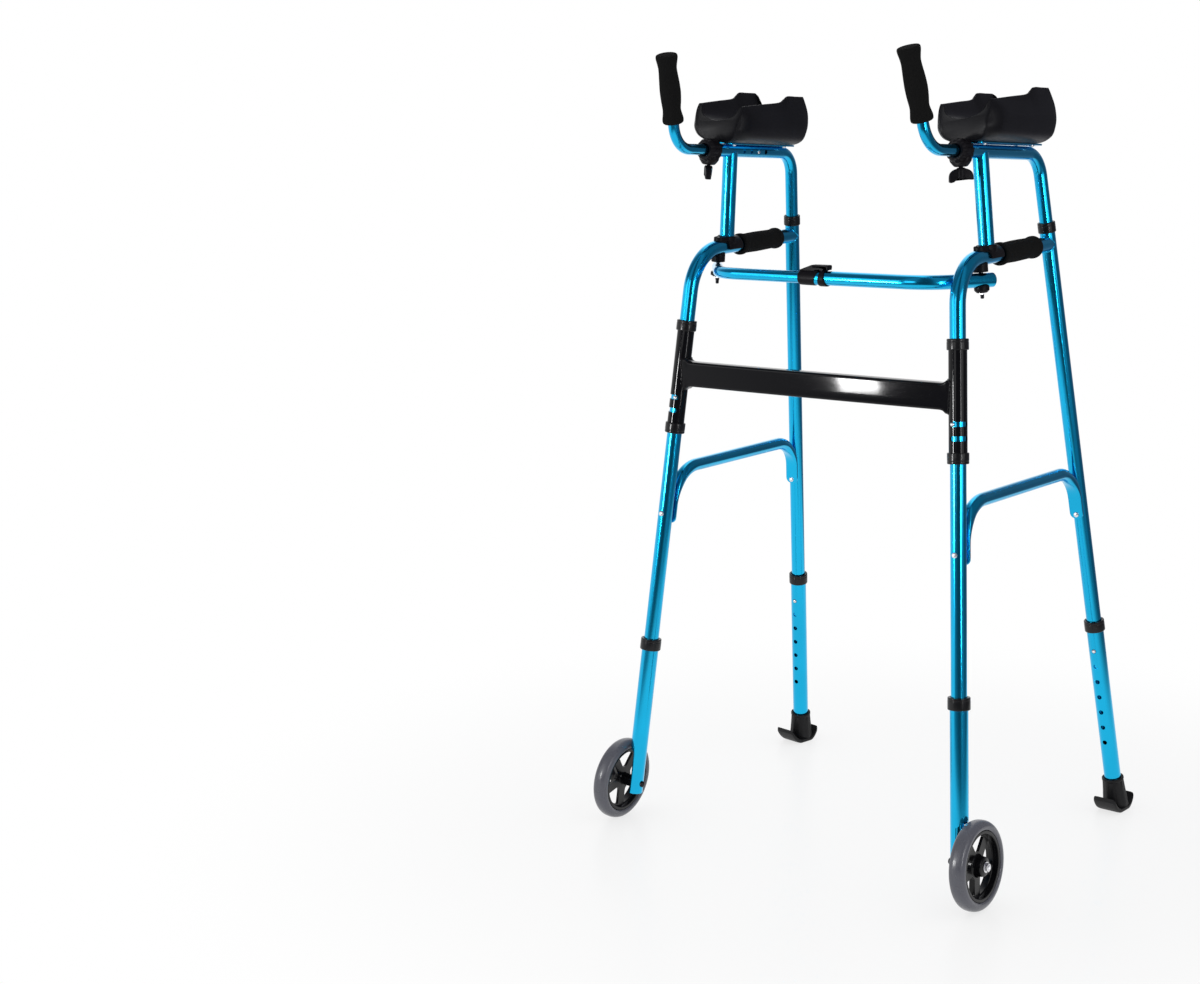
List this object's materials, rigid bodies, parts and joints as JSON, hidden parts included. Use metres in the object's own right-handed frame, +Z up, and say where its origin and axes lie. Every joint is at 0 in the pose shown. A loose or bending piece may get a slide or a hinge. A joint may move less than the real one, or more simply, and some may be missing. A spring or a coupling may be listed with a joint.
{
  "type": "platform walker",
  "caption": "Folding platform walker in blue aluminium tube, with forearm troughs, front wheels and rubber rear feet.",
  "frame": {"origin": "on the floor, at the middle of the walker's overall length and width", "axes": "+X towards the user's left, +Y rearwards to the open side where the user stands, +Z up; the front wheels are at -Y"},
  "size_m": [0.6498, 0.5824, 1.1581],
  "materials": {
    "blue_tube": "blue anodised, bright",
    "black_paint": "gloss black",
    "black_plastic": "satin",
    "black_foam": "closed-cell foam, matte",
    "black_pad": "self-skinned foam, satin",
    "black_rubber": "matte",
    "grey_tyre": "grey polyurethane, satin",
    "zinc": "zinc plated, bright"
  },
  "bodies": {
    "cross_member": {"cross_member": "black_paint", "sleeve_top_collar_left": "black_plastic", "sleeve_low_collar_left": "black_plastic", "sleeve_top_collar_right": "black_plastic", "sleeve_low_collar_right": "black_plastic"},
    "side_frame_left": {"side_frame_left": "blue_tube", "side_brace_left": "blue_tube", "handle_grip_left": "black_foam", "rear_top_collar_left": "black_plastic", "platform_frame_left": "blue_tube", "platform_saddle_left": "black_plastic", "handgrip_clamp_left": "black_plastic", "trough_plate_left": "blue_tube", "forearm_trough_left": "black_pad", "pivot_spacer_left": "black_plastic"},
    "rear_leg_left": {"rear_extension_left": "blue_tube", "rear_foot_left": "black_rubber", "rear_lower_collar_left": "black_plastic"},
    "front_leg_left": {"front_extension_left": "blue_tube", "front_lower_collar_left": "black_plastic", "axle_bolt_left": "zinc"},
    "wheel_left": {"wheel_tyre_left": "grey_tyre", "wheel_hub_left": "black_plastic"},
    "handgrip_left": {"handgrip_tube_left": "blue_tube", "handgrip_foam_left": "black_foam"},
    "clamp_knob_left": {"clamp_knob_left": "black_plastic"},
    "rear_button_left": {"rear_snap_button_left": "zinc"},
    "front_button_left": {"front_snap_button_left": "zinc"},
    "reach_button_left": {"platform_snap_button_left": "zinc"},
    "top_bar_left": {"crossbar_outer_tube": "blue_tube", "crossbar_lock_body": "black_plastic", "pivot_bolt_left": "zinc"},
    "side_frame_right": {"side_frame_right": "blue_tube", "side_brace_right": "blue_tube", "handle_grip_right": "black_foam", "rear_top_collar_right": "black_plastic", "platform_frame_right": "blue_tube", "platform_saddle_right": "black_plastic", "handgrip_clamp_right": "black_plastic", "trough_plate_right": "blue_tube", "forearm_trough_right": "black_pad", "pivot_spacer_right": "black_plastic"},
    "rear_leg_right": {"rear_extension_right": "blue_tube", "rear_foot_right": "black_rubber", "rear_lower_collar_right": "black_plastic"},
    "front_leg_right": {"front_extension_right": "blue_tube", "front_lower_collar_right": "black_plastic", "axle_bolt_right": "zinc"},
    "wheel_right": {"wheel_tyre_right": "grey_tyre", "wheel_hub_right": "black_plastic"},
    "handgrip_right": {"handgrip_tube_right": "blue_tube", "handgrip_foam_right": "black_foam"},
    "clamp_knob_right": {"clamp_knob_right": "black_plastic"},
    "rear_button_right": {"rear_snap_button_right": "zinc"},
    "front_button_right": {"front_snap_button_right": "zinc"},
    "reach_button_right": {"platform_snap_button_right": "zinc"},
    "top_bar_right": {"crossbar_inner_tube": "blue_tube", "pivot_bolt_right": "zinc"},
    "bar_lock_lever": {"crossbar_lock_lever": "black_plastic"}
  },
  "joints": [
    {"name": "fold_left", "type": "hinge", "parent": "cross_member", "child": "side_frame_left", "pos_m": [0.23009, -0.17492, 0.68786], "axis": [-0.0772, 0.0846, 0.9934], "range_deg": [0, 26]},
    {"name": "bar_pivot_left", "type": "hinge", "parent": "side_frame_left", "child": "top_bar_left", "pos_m": [0.21644, -0.09646, 0.87553], "axis": [-0.0772, 0.0846, 0.9934], "range_deg": [-26, 0]},
    {"name": "rear_leg_left_height", "type": "slide", "parent": "side_frame_left", "child": "rear_leg_left", "axis": [-0.0801, -0.1744, 0.9814], "range_m": [0, 0.1524]},
    {"name": "front_leg_left_height", "type": "slide", "parent": "side_frame_left", "child": "front_leg_left", "axis": [-0.0772, 0.0846, 0.9934], "range_m": [0, 0.1524]},
    {"name": "wheel_left_spin", "type": "hinge", "parent": "front_leg_left", "child": "wheel_left", "pos_m": [0.30476, -0.22871, 0.06266], "axis": [0.9968, -0.015, 0.0787], "continuous": true},
    {"name": "handgrip_left_reach", "type": "slide", "parent": "side_frame_left", "child": "handgrip_left", "axis": [0.0178, 0.9992, -0.0358], "range_m": [-0.04, 0.02]},
    {"name": "clamp_knob_left_turn", "type": "hinge", "parent": "side_frame_left", "child": "clamp_knob_left", "pos_m": [0.20438, -0.13728, 1.0204], "axis": [0.0781, -0.0371, -0.9963], "range_deg": [0, 360]},
    {"name": "rear_button_left_press", "type": "slide", "parent": "side_frame_left", "child": "rear_button_left", "axis": [0.0009, 0.9846, 0.1751], "range_m": [0, 0.003], "stiffness_N_per_m": 600, "deforming": ["rear_snap_button_left"]},
    {"name": "front_button_left_press", "type": "slide", "parent": "side_frame_left", "child": "front_button_left", "axis": [0.1943, 0.9786, -0.0682], "range_m": [0, 0.003], "stiffness_N_per_m": 600, "deforming": ["front_snap_button_left"]},
    {"name": "reach_button_left_press", "type": "slide", "parent": "handgrip_left", "child": "reach_button_left", "axis": [0.9968, -0.015, 0.0787], "range_m": [0, 0.003], "stiffness_N_per_m": 600, "deforming": ["platform_snap_button_left"]},
    {"name": "fold_right", "type": "hinge", "parent": "cross_member", "child": "side_frame_right", "pos_m": [-0.23009, -0.17492, 0.68786], "axis": [-0.0772, -0.0846, -0.9934], "range_deg": [0, 26]},
    {"name": "bar_pivot_right", "type": "hinge", "parent": "side_frame_right", "child": "top_bar_right", "pos_m": [-0.21644, -0.09646, 0.87553], "axis": [-0.0772, -0.0846, -0.9934], "range_deg": [-26, 0]},
    {"name": "rear_leg_right_height", "type": "slide", "parent": "side_frame_right", "child": "rear_leg_right", "axis": [0.0801, -0.1744, 0.9814], "range_m": [0, 0.1524]},
    {"name": "front_leg_right_height", "type": "slide", "parent": "side_frame_right", "child": "front_leg_right", "axis": [0.0772, 0.0846, 0.9934], "range_m": [0, 0.1524]},
    {"name": "wheel_right_spin", "type": "hinge", "parent": "front_leg_right", "child": "wheel_right", "pos_m": [-0.30476, -0.22871, 0.06266], "axis": [0.9968, 0.015, -0.0787], "continuous": true},
    {"name": "handgrip_right_reach", "type": "slide", "parent": "side_frame_right", "child": "handgrip_right", "axis": [-0.0178, 0.9992, -0.0358], "range_m": [-0.04, 0.02]},
    {"name": "clamp_knob_right_turn", "type": "hinge", "parent": "side_frame_right", "child": "clamp_knob_right", "pos_m": [-0.20438, -0.13728, 1.0204], "axis": [-0.0781, -0.0371, -0.9963], "range_deg": [0, 360]},
    {"name": "rear_button_right_press", "type": "slide", "parent": "side_frame_right", "child": "rear_button_right", "axis": [-0.0009, 0.9846, 0.1751], "range_m": [0, 0.003], "stiffness_N_per_m": 600, "deforming": ["rear_snap_button_right"]},
    {"name": "front_button_right_press", "type": "slide", "parent": "side_frame_right", "child": "front_button_right", "axis": [-0.1943, 0.9786, -0.0682], "range_m": [0, 0.003], "stiffness_N_per_m": 600, "deforming": ["front_snap_button_right"]},
    {"name": "reach_button_right_press", "type": "slide", "parent": "handgrip_right", "child": "reach_button_right", "axis": [-0.9968, -0.015, 0.0787], "range_m": [0, 0.003], "stiffness_N_per_m": 600, "deforming": ["platform_snap_button_right"]},
    {"name": "bar_lock_lever_lift", "type": "hinge", "parent": "top_bar_left", "child": "bar_lock_lever", "pos_m": [0.0035, -0.1755, 0.86155], "axis": [0, -1, 0], "range_deg": [0, 12], "stiffness_Nm_per_rad": 0.2, "springref_deg": -5.73}
  ],
  "couplings": [
    {"joint": "fold_right", "follows": "fold_left", "ratio": 1},
    {"joint": "bar_pivot_left", "follows": "fold_left", "ratio": -1},
    {"joint": "bar_pivot_right", "follows": "fold_left", "ratio": -1}
  ]
}
